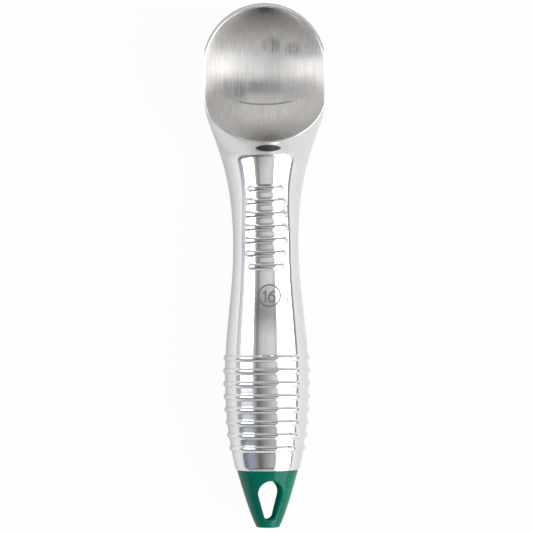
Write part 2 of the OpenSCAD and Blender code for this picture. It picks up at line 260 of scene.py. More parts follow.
# Tones of the far end by the share of the way that runs along the handle, and where each part sets in
FAR_TONES = [(0.56, 0.75), (0.66, 0.75), (0.69, 0.1), (0.72, 0.1), (0.75, 0.6), (0.95, 0.5), (1, 0.4)]
NEAR_FROM, BACK_FROM, BEHIND_FROM = (0.1, -0.05), (-0.02, -0.4), (-0.54, -0.66)
AHEAD_FROM, FAR_FROM = (0.16, 0.24), (0.5, 0.56)
END_FROM, END_TONE = (-0.72, -0.95), (0.75, 0.74, 0.73, 1)

# Floor: its colour, how far it is lifted to white for the camera and for mirrors, and its ends
WHITE = (1, 1, 1, 1)
FLOOR = (0.8, 0.8, 0.8, 1)
FLOOR_GLOW, FLOOR_MIRRORED = 0.95, 0.15
FLOOR_EDGE, FLOOR_REACH = 0.22, 6.0

bowl_r = BOWL_WIDTH / 2
waist_r = WAIST_D / 2
grip_r = GRIP_D / 2
seat_r = SEAT_D / 2


def ease(t):
    """A soft start and stop between 0 and 1."""
    return (1 - np.cos(np.pi * np.clip(t, 0, 1))) / 2


def soft_max(a, b, size):
    """The larger of two heights, with a fillet of about this size where they cross."""
    return np.maximum(a, b) + size * (np.maximum(size - abs(a - b), 0) / size) ** 2 / 4


def soft_min(a, b, size):
    """The smaller of two heights, with a fillet of about this size where they cross."""
    return -soft_max(-a, -b, size)


def plain_grip_radius(d):
    """Radius of the turned handle between the cap and the waist, without its rings."""
    d = np.asarray(d, float)
    towards_waist = waist_r + (grip_r - waist_r) * ease((WAIST_AT - d) / (WAIST_AT - GRIP_AT))
    share = np.clip((GRIP_AT - d) / (GRIP_AT - CAP_LENGTH), 0, None)
    towards_cap = grip_r - (grip_r - seat_r) * share ** GRIP_CURVE
    return np.where(d >= GRIP_AT, towards_waist, towards_cap)


ring_places = RING_FIRST + RING_PITCH * np.arange(RING_COUNT)
rest_height = float(plain_grip_radius(ring_places).max()) + RING_HEIGHT


def grip_radius(d):
    """Radius of the turned handle with its rings, each with a small fillet at its foot."""
    radius = plain_grip_radius(d)
    for place in ring_places:
        middle = plain_grip_radius(place) + RING_HEIGHT - RING_ROUND
        back = middle + np.sqrt(np.maximum(RING_ROUND ** 2 - (d - place) ** 2, 0))
        radius = np.where(abs(d - place) < 2 * RING_ROUND, soft_max(radius, back, RING_FOOT), radius)
    return radius


lip_centre = OVERALL_LENGTH - bowl_r
heel_centre = lip_centre - BOWL_STRAIGHT
heel_end = heel_centre - BOWL_HEEL
wall_foot = RIM_HEIGHT - WALL_DROP
hollow_r = bowl_r - RIM_WIDTH
hollow_lip_centre = OVERALL_LENGTH - LIP_WIDTH - hollow_r
hollow_heel = BOWL_HEEL - RIM_WIDTH
hollow_straight = hollow_lip_centre - heel_centre
hollow_depth = wall_foot + rest_height - BOWL_FLOOR
low_at = heel_end - NECK_SETBACK
neck_span = heel_centre - WAIST_AT


def neck_half(d):
    """Half width of the neck, which widens into the bowl along a curve with flat ends."""
    u = np.linspace(0, 1, 2001)
    place = 3 * FLARE_START * u * (1 - u) ** 2 + 3 * FLARE_FINISH * u * u * (1 - u) + u ** 3
    share = np.interp(np.clip((d - WAIST_AT) / neck_span, 0, 1), place, u)
    return waist_r + (bowl_r - waist_r) * share * share * (3 - 2 * share)


def neck_top(d):
    """Height of the neck's front above the centre line."""
    return waist_r - (waist_r - NECK_FRONT) * ease((d - WAIST_AT) / (low_at - WAIST_AT))


def neck_field(x, d, z):
    """Depth of a point in the neck, in millimetres or nearly: negative inside."""
    half = neck_half(d)
    bend = ease((d - WAIST_AT) / (low_at - WAIST_AT))
    wide = (wall_foot + NECK_DIP) * ease((d - low_at) / (heel_centre - low_at)) - NECK_DIP * bend
    back = -waist_r - (rest_height - waist_r) * ease((d - WAIST_AT) / neck_span)
    rise = np.where(z > wide, neck_top(d) - wide, wide - back)
    return half * (np.hypot(x / half, (z - wide) / rise) - 1)


def bowl_field(x, d, z):
    """Depth of a point in the bowl's outside: round end, straight sides, heel that spreads downwards."""
    fall = np.clip(RIM_HEIGHT - z, 0, RIM_HEIGHT)
    bend = (SKIRT_SPREAD - SKIRT_START) * SKIRT_BEND * (1 - np.exp(-fall / SKIRT_BEND))
    heel = BOWL_HEEL + SKIRT_SPREAD * fall - bend
    along = np.maximum(np.maximum(d - lip_centre, 0) / bowl_r, np.maximum(heel_centre - d, 0) / heel)
    down = np.maximum(0, wall_foot - z) / (wall_foot + rest_height)
    return bowl_r * (np.sqrt((x / bowl_r) ** 2 + along ** 2 + down ** 2) - 1)


def head_field(x, d, z):
    """Neck and bowl, which flow into each other with a fillet that fades out along the shoulders."""
    fillet = 0.001 + NECK_FILLET * (1 - ease((d - heel_end) / (heel_centre - heel_end)))
    bowl = bowl_field(x, d, z)
    return np.where(d >= heel_centre, bowl, soft_min(bowl, neck_field(x, d, z), fillet))


def in_hollow(x, d, share):
    """Whether places lie within the hollow's outline: straight sides at its edge, share 1, an oval inside."""
    width = hollow_r * share
    rise = np.sqrt(np.maximum(1 - (x / width) ** 2, 0))
    straight = rise + (1 - rise) * share ** HOLLOW_EASE
    back = share * (hollow_heel * rise + hollow_straight * straight)
    return (abs(x) < width) & (d < hollow_lip_centre + width * rise) & (d > hollow_lip_centre - back)


# Columns run along the handle and rows round it

def column_angles():
    """Angles of the columns round the handle, from its back: close together across the ribs and the mark."""
    off = np.linspace(-180, 180, 7201)
    step = FRONT_STEP + (SIDE_STEP - FRONT_STEP) * ease((abs(off) - FRONT_REACH) / FRONT_FADE)
    count = np.concatenate([[0], np.cumsum((1 / step[1:] + 1 / step[:-1]) / 2 * np.diff(off))])
    columns = 2 * round(count[-1] / 2)
    places = np.arange(columns) * count[-1] / columns
    return np.radians(90 + np.interp(places, count, off))


angles = column_angles()
across, upward = np.cos(angles), np.sin(angles)
ones = np.ones(len(angles))


def turned_rows(profile):
    """Rows of a turned surface from a list of radius and place along the handle."""
    return [np.stack([r * across, d * ones, r * upward], 1) for r, d in profile]


def solve_reach(inside, far, steps=44):
    """For each column, how far out the surface lies from a point inside it."""
    low, high = np.zeros(far.shape), far.copy()
    for _ in range(steps):
        middle = (low + high) / 2
        within = inside(middle)
        low = np.where(within, middle, low)
        high = np.where(within, high, middle)
    return low


def neck_row(d):
    """A row round the neck, square across the handle."""
    reach = solve_reach(lambda r: head_field(r * across, d, r * upward) < 0, FAR * ones)
    return np.stack([reach * across, d * ones, reach * upward], 1)


mouth_middle = (heel_centre + lip_centre) / 2


def fan_points(turn, reach):
    """Points of a section that leans from square across the neck, at 0, to the rim's plane, at a quarter."""
    middle = RIM_HEIGHT + (mouth_middle - low_at - RIM_HEIGHT) * turn / (math.pi / 2)
    away = middle - reach * upward
    return reach * across, low_at + away * math.sin(turn), RIM_HEIGHT - away * math.cos(turn)


def fan_row(turn):
    """A row where such a section meets the outside of neck and bowl."""
    reach = solve_reach(lambda r: head_field(*fan_points(turn, r)) < 0, FAR * ones)
    return np.stack(fan_points(turn, reach), 1)


def hollow_row(share, z):
    """A row round the hollow, about a middle that moves from the mouth's to the deepest place."""
    middle = hollow_lip_centre + (mouth_middle - hollow_lip_centre) * share
    reach = solve_reach(lambda r: in_hollow(r * across, middle - r * upward, share), FAR * ones)
    return np.stack([reach * across, middle - reach * upward, z * ones], 1)


def rib_relief(x, d):
    """Height of the thumb ribs above the neck: round bars with round ends, longest in the middle."""
    middle = (RIB_COUNT - 1) / 2
    bar = RIB_THICK / 2
    relief = np.zeros(x.shape)
    for i in range(RIB_COUNT):
        off = abs(i - middle) / middle
        half_length = (RIB_LONG - (RIB_LONG - RIB_SHORT) * off * off) / 2 - bar
        away = np.hypot(np.maximum(abs(x) - half_length, 0), d - RIB_FIRST - i * RIB_PITCH)
        back = RIB_HEIGHT - bar + np.sqrt(np.maximum(bar ** 2 - away ** 2, 0))
        relief = np.where(away < 2 * bar, soft_max(relief, back, RIB_FOOT), relief)
    return relief


def raise_ribs(rows):
    """Lifts the rows along their normals by the ribs' height, on the front only."""
    grid = np.stack(rows)
    round_it = np.roll(grid, -1, 1) - np.roll(grid, 1, 1)
    normal = np.cross(np.gradient(grid, axis=0), round_it)
    normal /= np.linalg.norm(normal, axis=2, keepdims=True)
    normal *= np.sign((normal * (grid * [1, 0, 1])).sum(2, keepdims=True))
    relief = np.where(grid[:, :, 2] > 0, rib_relief(grid[:, :, 0], grid[:, :, 1]), 0)
    return list(grid + normal * relief[:, :, None])


def bar_stations(place, bar, reach, foot):
    """Places of the rows over a round bar, close together on its flanks, with its foot on both sides."""
    over = place + bar * np.sin(np.linspace(-reach, reach, BAR_ROWS))
    before, after = [over[0] - foot, over[0] - foot / 2], [over[-1] + foot / 2, over[-1] + foot]
    return np.concatenate([before, over, after])


def with_between(stations, start, end, step):
    """Fills the gaps of a list of places with rows about this far apart."""
    edges = np.concatenate([[start], np.sort(stations), [end]])
    gaps = zip(edges[:-1], edges[1:])
    filled = [np.linspace(a, b, max(1, math.ceil((b - a) / step)), endpoint=False) for a, b in gaps]
    return np.unique(np.round(np.concatenate(filled + [[end]]), 6))


def round_corner(start, corner, end, steps):
    """Points of a quarter round from start to end, whose tangents meet at the corner."""
    start, corner, end = (np.asarray(p, float) for p in (start, corner, end))
    turns = np.linspace(0, math.pi / 2, steps)
    return [corner + (start - corner) * (1 - math.sin(t)) + (end - corner) * (1 - math.cos(t)) for t in turns]


def bore_rows():
    """Rows out of the handle: the charge's bore, the plug's hole and the cap's socket."""
    charge_end = heel_end - CHARGE_WALL
    return turned_rows([
        (CHARGE_R * BORE_TIP_SHARE, charge_end), (CHARGE_R, charge_end - CHARGE_R / math.tan(DRILL_POINT)),
        (CHARGE_R, PLUG_HOLE_END), (PLUG_HOLE_R, PLUG_HOLE_END), (PLUG_HOLE_R, SHOULDER_AT),
        (SOCKET_R, SHOULDER_AT), (SOCKET_R, CAP_LENGTH + BORE_EDGE), (SOCKET_R + BORE_EDGE, CAP_LENGTH),
    ])


def grip_rows():
    """Rows from the cap's seat over the ringed grip to below the ribs."""
    top = CAP_LENGTH + SEAT_EDGE
    edge = round_corner((seat_r - SEAT_EDGE, CAP_LENGTH), (seat_r, CAP_LENGTH), (seat_r, top), CORNER_ROWS)
    bars = np.concatenate([bar_stations(p, RING_ROUND, RING_REACH, RING_FOOT) for p in ring_places])
    stations = with_between(bars, top + SEAT_GAP, RIB_FIRST - RIB_THICK, GRIP_STEP)
    return turned_rows(edge) + turned_rows([(float(grip_radius(d)), d) for d in stations])


def plain_row(d):
    """A row of the grip or of the neck without the ribs."""
    return turned_rows([(float(plain_grip_radius(d)), d)])[0] if d < WAIST_AT else neck_row(d)


def neck_rows():
    """Rows from below the ribs up to the lowest place of the neck's front, with the ribs raised."""
    rib_places = RIB_FIRST + RIB_PITCH * np.arange(RIB_COUNT)
    bars = np.concatenate([bar_stations(p, RIB_THICK / 2, RIB_REACH, RIB_FOOT) for p in rib_places])
    stations = with_between(bars, RIB_FIRST - RIB_THICK + RIB_GAP, low_at, NECK_STEP)[:-1]
    return raise_ribs([plain_row(d) for d in stations])


def mouth_row(heights, field):
    """A row round the mouth at these heights, where the field of a surface is zero."""
    reach = solve_reach(lambda r: field(r * across, mouth_middle - r * upward, heights) < 0, FAR * ones)
    return np.stack([reach * across, mouth_middle - reach * upward, heights * ones], 1)


def hollow_edge(x, d, z):
    """Below zero within the hollow's edge, at any height."""
    return np.where(in_hollow(x, d, 1), -1, 1)


def rim_rows():
    """Rows over the rim: round outer edge, narrow land, round inner edge."""
    outer, inner = mouth_row(RIM_HEIGHT, head_field), mouth_row(RIM_HEIGHT, hollow_edge)
    width = np.linalg.norm(inner - outer, axis=1, keepdims=True)
    inward, edge = (inner - outer) / width, np.minimum(EDGE_SHARE * width, EDGE_ROUND)
    turns = np.linspace(0, math.pi / 2, RIM_ROWS)
    rows = []
    for field, way, order in ((head_field, 1, turns), (hollow_edge, -1, turns[::-1])):
        for t in order:
            heights = RIM_HEIGHT - edge[:, 0] * (1 - math.sin(t))
            rows.append(mouth_row(heights, field) + way * inward * edge * (1 - math.cos(t)))
    return rows


def hollow_rows():
    """Rows down the wall of the hollow and over its floor to its deepest place."""
    wall = [hollow_row(1, z) for z in np.linspace(RIM_HEIGHT - WALL_GAP, wall_foot, WALL_ROWS + 1)[:-1]]
    falls = np.linspace(0, FLOOR_TURN, FLOOR_ROWS)
    return wall + [hollow_row(math.cos(fall), wall_foot - hollow_depth * math.sin(fall)) for fall in falls]


def to_frame(points):
    """Moves points from the tool's own millimetres into the row frame, in metres."""
    return (np.asarray(points, float) + [0, -OVERALL_LENGTH / 2, rest_height]) * MM


def add_mesh(name, points, faces, materials):
    """Makes a smooth object from points in the tool's millimetres."""
    mesh = bpy.data.meshes.new(name)
    mesh.from_pydata(to_frame(points).tolist(), [], faces)
    for material in materials:
        mesh.materials.append(material)
    mesh.shade_smooth()
    mesh.set_sharp_from_angle(angle=math.radians(40))
    mesh.update()
    thing = bpy.data.objects.new(name, mesh)
    bpy.context.scene.collection.objects.link(thing)
    return thing


def put_in_place(piece, node):
    """Says what a piece rides on and which solid it stands for."""
    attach(piece, "root")
    if node:
        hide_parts(node)


def grid_corners(rows, columns):
    """Row and column of each corner of a closed grid's faces, with the outside to the front."""
    i, j = (part.ravel() for part in np.meshgrid(np.arange(rows - 1), np.arange(columns), indexing="ij"))
    return np.stack([i, i + 1, i + 1, i], 1), np.stack([j, j, j + 1, j + 1], 1)


def add_map(mesh, name, places):
    """Adds flat coordinates, one pair for each corner of the mesh's faces."""
    layer = mesh.uv_layers.new(name=name)
    layer.data.foreach_set("uv", np.asarray(places, np.float32).ravel())


def brush_places(points):
    """Flat coordinates over the bowl, in which the brush strokes run along the second one."""
    spread = 1 + (points[:, 2] + rest_height) / BRUSH_SPREAD
    return np.stack([points[:, 0] * spread, (points[:, 1] - mouth_middle) * spread], 1) * MM


def end_fans(last, columns, tip, floor):
    """Triangles round the tip of the bore, from the first row, and round the bowl's floor, from the last."""
    here, after = np.arange(columns), np.arange(1, columns + 1) % columns
    tip_fan = np.stack([np.full(columns, tip), here, after], 1)
    return tip_fan, np.stack([np.full(columns, floor), last + after, last + here], 1)


def casting_map(rows, row_at, column_at):
    """Coordinates for the bake: once round the handle, by the way along the skin from the tip of the bore."""
    steps = [np.linalg.norm(b - a, axis=1).mean() for a, b in zip(rows, rows[1:])]
    span = np.concatenate([[1], 1 + np.cumsum(steps)])
    along = span / (span[-1] + 1)
    turn = np.concatenate([(np.degrees(angles) + 90) / 360, [1]])
    quad_map = np.stack([turn[column_at], along[row_at]], 2)
    before, after = turn[:-1], turn[1:]
    middles, none = (before + after) / 2, 0 * before
    tip_map = np.stack([[middles, none], [before, none + along[0]], [after, none + along[0]]])
    floor_map = np.stack([[middles, none + 1], [after, none + along[-1]], [before, none + along[-1]]])
    parts = [quad_map, tip_map.transpose(2, 0, 1), floor_map.transpose(2, 0, 1)]
    return np.concatenate([part.reshape(-1, 2) for part in parts])


def make_casting(polished, brushed):
    """The cast piece: bores, seat, ringed grip, ribbed neck, bowl, rim and hollow as one closed skin."""
    outside = bore_rows() + grip_rows() + neck_rows() + [fan_row(t) for t in BEND_TURNS] + rim_rows()
    rows, columns = outside + hollow_rows(), len(angles)
    row_at, column_at = grid_corners(len(rows), columns)
    quads = row_at * columns + column_at % columns
    points = np.concatenate(rows + [[rows[0].mean(0)], [[0, hollow_lip_centre, wall_foot - hollow_depth]]])
    tip_fan, floor_fan = end_fans((len(rows) - 1) * columns, columns, len(points) - 2, len(points) - 1)
    faces = quads.tolist() + tip_fan.tolist() + floor_fan.tolist()
    casting = add_mesh("casting", points, faces, [polished, brushed])
    in_bowl = np.zeros(len(faces), int)
    in_bowl[(len(outside) - 1) * columns:len(quads)] = 1
    in_bowl[-columns:] = 1
    casting.data.polygons.foreach_set("material_index", in_bowl)
    add_map(casting.data, "OFBake", casting_map(rows, row_at, column_at))
    corners = np.concatenate([quads.ravel(), tip_fan.ravel(), floor_fan.ravel()])
    add_map(casting.data, BRUSH_MAP, brush_places(points)[corners])
    put_in_place(casting, "dipper_casting")


# Raised number

def arc(centre, radii, turns, steps):
    """Points of an oval's arc between two turns, in degrees."""
    turns = np.radians(np.linspace(*turns, steps))
    return [(centre[0] + radii[0] * math.cos(t), centre[1] + radii[1] * math.sin(t)) for t in turns]


def round_ends(path, run, line):
    """Carries a path on over its round ends: points, directions and half widths."""
    ends = np.linspace(0, math.pi / 2, CORNER_ROWS)[1:]
    start = [path[0] - run[0] * line / 2 * math.sin(t) for t in ends[::-1]]
    end = [path[-1] + run[-1] * line / 2 * math.sin(t) for t in ends]
    taper = np.maximum(np.cos(ends), END_LEAST) * line / 2
    run = np.concatenate([[run[0]] * len(ends), run, [run[-1]] * len(ends)])
    width = np.concatenate([taper[::-1], np.full(len(path), line / 2), taper])
    return np.concatenate([start, path, end]), run, width


def bead_faces(count, sides, closed):
    """Faces round a raised line, and over its two ends where it has any."""
    faces = []
    for i in range(count if closed else count - 1):
        k = (i + 1) % count
        for j in range(sides):
            m = (j + 1) % sides
            faces.append((i * sides + j, i * sides + m, k * sides + m, k * sides + j))
    if not closed:
        faces.append(tuple(range(sides - 1, -1, -1)))
        faces.append(tuple((count - 1) * sides + j for j in range(sides)))
    return faces


def bead(path, line, rise, closed=False, sides=9):
    """Points and faces of a raised line with a round back that follows a path over the handle's front."""
    path = np.asarray(path, float) + MARK_AT
    run = np.roll(path, -1, 0) - np.roll(path, 1, 0) if closed else np.gradient(path, axis=0)
    run /= np.linalg.norm(run, axis=1, keepdims=True)
    width = np.full(len(path), line / 2)
    if not closed:
        path, run, width = round_ends(path, run, line)
    side = np.stack([-run[:, 1], run[:, 0]], 1)
    across_line = np.linspace(-1, 1, sides)
    place = path[:, None, :] + side[:, None, :] * (width[:, None] * across_line)[:, :, None]
    top = rise * np.sqrt(1 - across_line ** 2) * (2 * width[:, None] / line) - MARK_SINK
    radius = plain_grip_radius(place[:, :, 1])
    front = np.sqrt(radius ** 2 - place[:, :, 0] ** 2)
    grow = 1 + top / radius
    points = np.stack([place[:, :, 0] * grow, place[:, :, 1], front * grow], 2)
    return points.reshape(-1, 3), bead_faces(len(path), sides, closed)


def make_mark(skin):
    """The size number, a plain 16, in a raised circle."""
    circle = arc((0, 0), (MARK_R, MARK_R), (0, 360), steps=97)[:-1]
    stem = [(STEM_AT, d) for d in np.linspace(STEM_LOW, STEM_HIGH, num=14)]
    flag = [(FLAG_AT[0] + FLAG_RUN[0] * t, FLAG_AT[1] + FLAG_RUN[1] * t) for t in np.linspace(0, 1, num=6)]
    strokes = [
        bead(circle, MARK_LINE, MARK_RISE, closed=True),
        bead(stem, DIGIT_LINE, DIGIT_RISE),
        bead(flag, FLAG_LINE, FLAG_RISE),
        bead(arc(SPINE_AT, SPINE_SIZE, SPINE_TURNS, steps=24), DIGIT_LINE, DIGIT_RISE),
        bead(arc(LOOP_AT, LOOP_SIZE, LOOP_TURNS, steps=41)[:-1], DIGIT_LINE, DIGIT_RISE, closed=True),
    ]
    points, faces = [], []
    for stroke_points, stroke_faces in strokes:
        base = sum(map(len, points))
        points.append(stroke_points)
        faces += [tuple(base + v for v in face) for face in stroke_faces]
    put_in_place(add_mesh("size_mark", np.concatenate(points), faces, [skin]), None)


# Cap

def cap_radius(d):
    """Radius of the cap's tapered body at a place along it."""
    return CAP_TIP_D / 2 + (CAP_D - CAP_TIP_D) / 2 * (np.maximum(d, 0) / CAP_LENGTH) ** CAP_CURVE


def hole_distance(x, d):
    """Distance of a place from the outline of the teardrop hole, negative inside."""
    span = HOLE_WIDE_AT - HOLE_NARROW_AT
    lean = (HOLE_WIDE_R - HOLE_NARROW_R) / span
    flank = math.sqrt(1 - lean * lean)
    x, down = np.abs(x), HOLE_WIDE_AT - d
    along = -lean * x + flank * down
    wide = np.hypot(x, down) - HOLE_WIDE_R
    narrow = np.hypot(x, down - span) - HOLE_NARROW_R
    straight = flank * x + lean * down - HOLE_WIDE_R
    return np.where(along < 0, wide, np.where(along > flank * span, narrow, straight))


def cap_border():
    """Turn and place of the border of the cap's front half, from the middle of its top edge."""
    quarter = math.pi / 2
    high, low = CAP_LENGTH - CAP_TOP_ROUND, CAP_TIP_ROUND
    over = np.linspace(0, quarter, CAP_TOP // 2 + 1)[:-1]
    down = np.linspace(high, low, CAP_SIDE + 1)[:-1]
    under = np.linspace(quarter, -quarter, CAP_TOP + 1)[:-1]
    up = np.linspace(low, high, CAP_SIDE + 1)[:-1]
    back = np.linspace(-quarter, 0, CAP_TOP // 2 + 1)[:-1]
    turn = np.concatenate([over, np.full(CAP_SIDE, quarter), under, np.full(CAP_SIDE, -quarter), back])
    top = np.full(CAP_TOP // 2, high)
    place = np.concatenate([top, down, np.full(CAP_TOP, low), up, top])
    return turn, place


def cap_skin(turn, d):
    """Points on the cap's body, at a turn from the front."""
    r = cap_radius(d)
    return np.stack([r * np.sin(turn), d, r * np.cos(turn)], -1)


def hole_outline(ray, level):
    """Where rays from the middle of the cap's grid meet a line at a distance from the hole's outline."""
    start = np.full(len(ray), HOLE_FAR)
    reach = solve_reach(lambda r: hole_distance(r * ray[:, 0], CAP_GRID_AT + r * ray[:, 1]) < level, start)
    return reach * ray[:, 0], CAP_GRID_AT + reach * ray[:, 1]


def cap_front():
    """Grid of the front half of the cap, from the middle of the hole's wall out to the half's border."""
    turn, place = cap_border()
    ray = np.stack([turn * cap_radius(CAP_GRID_AT), place - CAP_GRID_AT], 1)
    ray /= np.linalg.norm(ray, axis=1, keepdims=True)
    x, d = hole_outline(ray, 0)
    surface = np.sqrt(cap_radius(d) ** 2 - x ** 2)
    wall_top = surface - HOLE_EDGE
    rows = []
    for t in np.linspace(0, 1, HOLE_WALL_ROWS + 1)[:-1]:
        inner_x, inner_d = hole_outline(ray, -HOLE_DRAFT * (1 - t))
        rows.append(np.stack([inner_x, inner_d, wall_top * t], 1))
    edge_x, edge_d = hole_outline(ray, HOLE_EDGE)
    edge_turn = np.arcsin(edge_x / cap_radius(edge_d))
    wall_edge, corner = np.stack([x, d, wall_top], 1), np.stack([x, d, surface], 1)
    rows += round_corner(wall_edge, corner, cap_skin(edge_turn, edge_d), HOLE_EDGE_ROWS)
    for s in np.linspace(0, 1, CAP_RINGS + 1)[1:] ** CAP_RING_SPREAD:
        rows.append(cap_skin(edge_turn + (turn - edge_turn) * s, edge_d + (place - edge_d) * s))
    return np.stack(rows)


def cap_turned_part(profile):
    """Grid of a turned part of the cap, from a list of radius and place."""
    turns = np.arange(2 * CAP_TOP) * 2 * math.pi / (2 * CAP_TOP)
    rows = [np.stack([r * np.sin(turns), 0 * turns + d, r * np.cos(turns)], 1) for r, d in profile]
    return np.stack(rows)


def quads_of(grid_shape, base, flip):
    """Faces of a closed grid whose points are numbered from a base, turned over where rows run inwards."""
    rows, columns = grid_shape
    row_at, column_at = grid_corners(rows, columns)
    quads = base + row_at * columns + column_at % columns
    return quads[:, ::-1].tolist() if flip else quads.tolist()


def cap_joint():
    """Profile over the cap's round top edge to the joint with the metal, and round the hollow spigot."""
    high, spigot_end = CAP_LENGTH - CAP_TOP_ROUND, CAP_LENGTH + SPIGOT_LENGTH
    top_r, inner = float(cap_radius(high)), SPIGOT_R - SPIGOT_WALL
    edge = round_corner((top_r, high), (top_r, CAP_LENGTH), (top_r - CAP_TOP_ROUND, CAP_LENGTH), CORNER_ROWS)
    return edge + [
        (SPIGOT_R, CAP_LENGTH), (SPIGOT_R, spigot_end - SEAT_EDGE), (SPIGOT_R - SEAT_EDGE, spigot_end),
        (inner, spigot_end), (inner, CAP_LENGTH), (MIDDLE_R, CAP_LENGTH),
    ]


def cap_foot():
    """Profile over the round edge of the cap's flat end."""
    low, tip_r = CAP_TIP_ROUND, float(cap_radius(CAP_TIP_ROUND))
    edge = round_corner((tip_r, low), (tip_r - CAP_FOOT_LEAN, 0), (tip_r - CAP_FOOT_LAND * low, 0), FOOT_ROWS)
    return edge + [(CAP_FLAT_R, 0), (MIDDLE_R, 0)]


def weld(mesh):
    """Joins points that lie on each other and turns every face outwards."""
    form = bmesh.new()
    form.from_mesh(mesh)
    bmesh.ops.remove_doubles(form, verts=form.verts, dist=WELD)
    bmesh.ops.recalc_face_normals(form, faces=form.faces)
    form.to_mesh(mesh)
    form.free()


def make_cap(plastic, matt_plastic):
    """The moulded cap: tapered round body, teardrop hole with round edges, spigot inside the handle."""
    front = cap_front()
    parts = [front, front * [1, 1, -1], cap_turned_part(cap_joint()), cap_turned_part(cap_foot())]
    points, faces = [], []
    for part, flip in zip(parts, (False, True, True, False)):
        faces += quads_of(part.shape[:2], sum(map(len, points)), flip)
        points.append(part.reshape(-1, 3))
    foot_end = sum(map(len, points))
    joint_end = foot_end - len(points[-1])
    faces.append(tuple(range(joint_end - 2 * CAP_TOP, joint_end)))
    faces.append(tuple(range(foot_end - 1, foot_end - 2 * CAP_TOP - 1, -1)))
    cos, sin = math.cos(CAP_TURN), math.sin(CAP_TURN)
    turn = np.array([[cos, 0, sin], [0, 1, 0], [-sin, 0, cos]])
    cap = add_mesh("cap", np.concatenate(points) @ turn.T, faces, [plastic, matt_plastic])
    half, wall = (len(front) - 1) * front.shape[1], HOLE_WALL_ROWS * front.shape[1]
    for start in (0, half):
        for face in cap.data.polygons[start:start + wall]:
            face.material_index = 1
    weld(cap.data)
    put_in_place(cap, "hanging_cap")


# Shared effects

def new_effect(name, inputs, outputs):
    """An empty shader group with named float and vector sockets."""
    group = bpy.data.node_groups.new(name, "ShaderNodeTree")
    for direction, sockets in (("INPUT", inputs), ("OUTPUT", outputs)):
        for socket_name, kind, *value in sockets:
            socket = group.interface.new_socket(socket_name, in_out=direction, socket_type=kind)
            if value:
                socket.default_value = value[0]
    return group, group.nodes.new("NodeGroupInput"), group.nodes.new("NodeGroupOutput")


def fill_socket(tree, socket, value):
    """Links an input to another node's output, or sets its plain value."""
    if isinstance(value, bpy.types.NodeSocket):
        tree.links.new(value, socket)
    else:
        socket.default_value = value


def add_node(tree, kind, settings=None, **inputs):
    """Adds a node, sets its options, and fills its inputs by name, or by place as in _0."""
    node = tree.nodes.new(kind)
    for option, value in (settings or {}).items():
        setattr(node, option, value)
    for key, value in inputs.items():
        by_place = key[0] == "_" and key[1:].isdigit()
        fill_socket(tree, node.inputs[int(key[1:]) if by_place else key.replace("_", " ")], value)
    return node


def math_node(tree, operation, *values):
    """The result of one operation on numbers or outputs."""
    node = add_node(tree, "ShaderNodeMath", {"operation": operation})
    for socket, value in zip(node.inputs, values):
        fill_socket(tree, socket, value)
    return node.outputs[0]


def product(tree, first, *others):
    """Numbers or outputs multiplied together."""
    for other in others:
        first = math_node(tree, "MULTIPLY", first, other)
    return first


def vector_node(tree, operation, *values):
    """The vector that one operation on vectors gives."""
    node = add_node(tree, "ShaderNodeVectorMath", {"operation": operation})
    for socket, value in zip(node.inputs, values):
        fill_socket(tree, socket, value)
    return node.outputs[0]


def streaks_effect():
    """Fine lines along one direction, as a brush or a turning tool leaves them."""
    group, start, end = new_effect(
        "Streaks",
        [("Place", "NodeSocketVector"), ("Lines", "NodeSocketVector"), ("Roughness", "NodeSocketFloat", 0.6)],
        [("Height", "NodeSocketFloat"), ("Fine", "NodeSocketFloat")],
    )
    place = vector_node(group, "MULTIPLY", start.outputs["Place"], start.outputs["Lines"])
    wide = add_node(group, "ShaderNodeTexNoise", None, Vector=place, Scale=1.0, Detail=4.0,
                    Roughness=start.outputs["Roughness"])
    finer = vector_node(group, "MULTIPLY", place, (FINER, FINER, FINER))
    fine = add_node(group, "ShaderNodeTexNoise", None, Vector=finer, Scale=1.0, Detail=2.0, Roughness=0.5)
    group.links.new(wide.outputs[0], end.inputs["Height"])
    group.links.new(fine.outputs[0], end.inputs["Fine"])
    return group


def drift_effect():
    """A soft uneven change over the surface, between a low and a high value."""
    group, start, end = new_effect(
        "Drift",
        [("Place", "NodeSocketVector"), ("Scale", "NodeSocketFloat", 100.0), ("Low", "NodeSocketFloat", 0.0),
         ("High", "NodeSocketFloat", 1.0)],
        [("Value", "NodeSocketFloat")],
    )
    noise = add_node(group, "ShaderNodeTexNoise", None, Vector=start.outputs["Place"],
                     Scale=start.outputs["Scale"], Detail=3.0, Roughness=0.55)
    spread = add_node(group, "ShaderNodeMapRange", {"clamp": True}, Value=noise.outputs[0],
                      From_Min=NOISE_LOW, From_Max=NOISE_HIGH, To_Min=start.outputs["Low"],
                      To_Max=start.outputs["High"])
    group.links.new(spread.outputs[0], end.inputs["Value"])
    return group


streaks = streaks_effect()
drift = drift_effect()


def new_material(name, **sockets):
    """A material with its shader, whose plain values are set on the shader's own sockets."""
    material = bpy.data.materials.new(name)
    material.use_nodes = True
    tree = material.node_tree
    shader = next(node for node in tree.nodes if node.type == "BSDF_PRINCIPLED")
    for key, value in sockets.items():
        shader.inputs[key.replace("_", " ")].default_value = value
    place = add_node(tree, "ShaderNodeTexCoord").outputs["Object"]
    return material, tree, shader, place


def use_streaks(tree, place, lines, roughness=0.6):
    """Places fine lines in a material, so many to the metre along each axis: coarse ones and finer ones."""
    node = add_node(tree, "ShaderNodeGroup", {"node_tree": streaks}, Place=place, Lines=lines,
                    Roughness=roughness)
    return node.outputs["Height"], node.outputs["Fine"]


def use_drift(tree, place, scale, low=0.0, high=1.0):
    """Places an uneven change in a material, between a low and a high value."""
    node = add_node(tree, "ShaderNodeGroup", {"node_tree": drift}, Place=place, Scale=scale, Low=low,
                    High=high)
    return node.outputs["Value"]


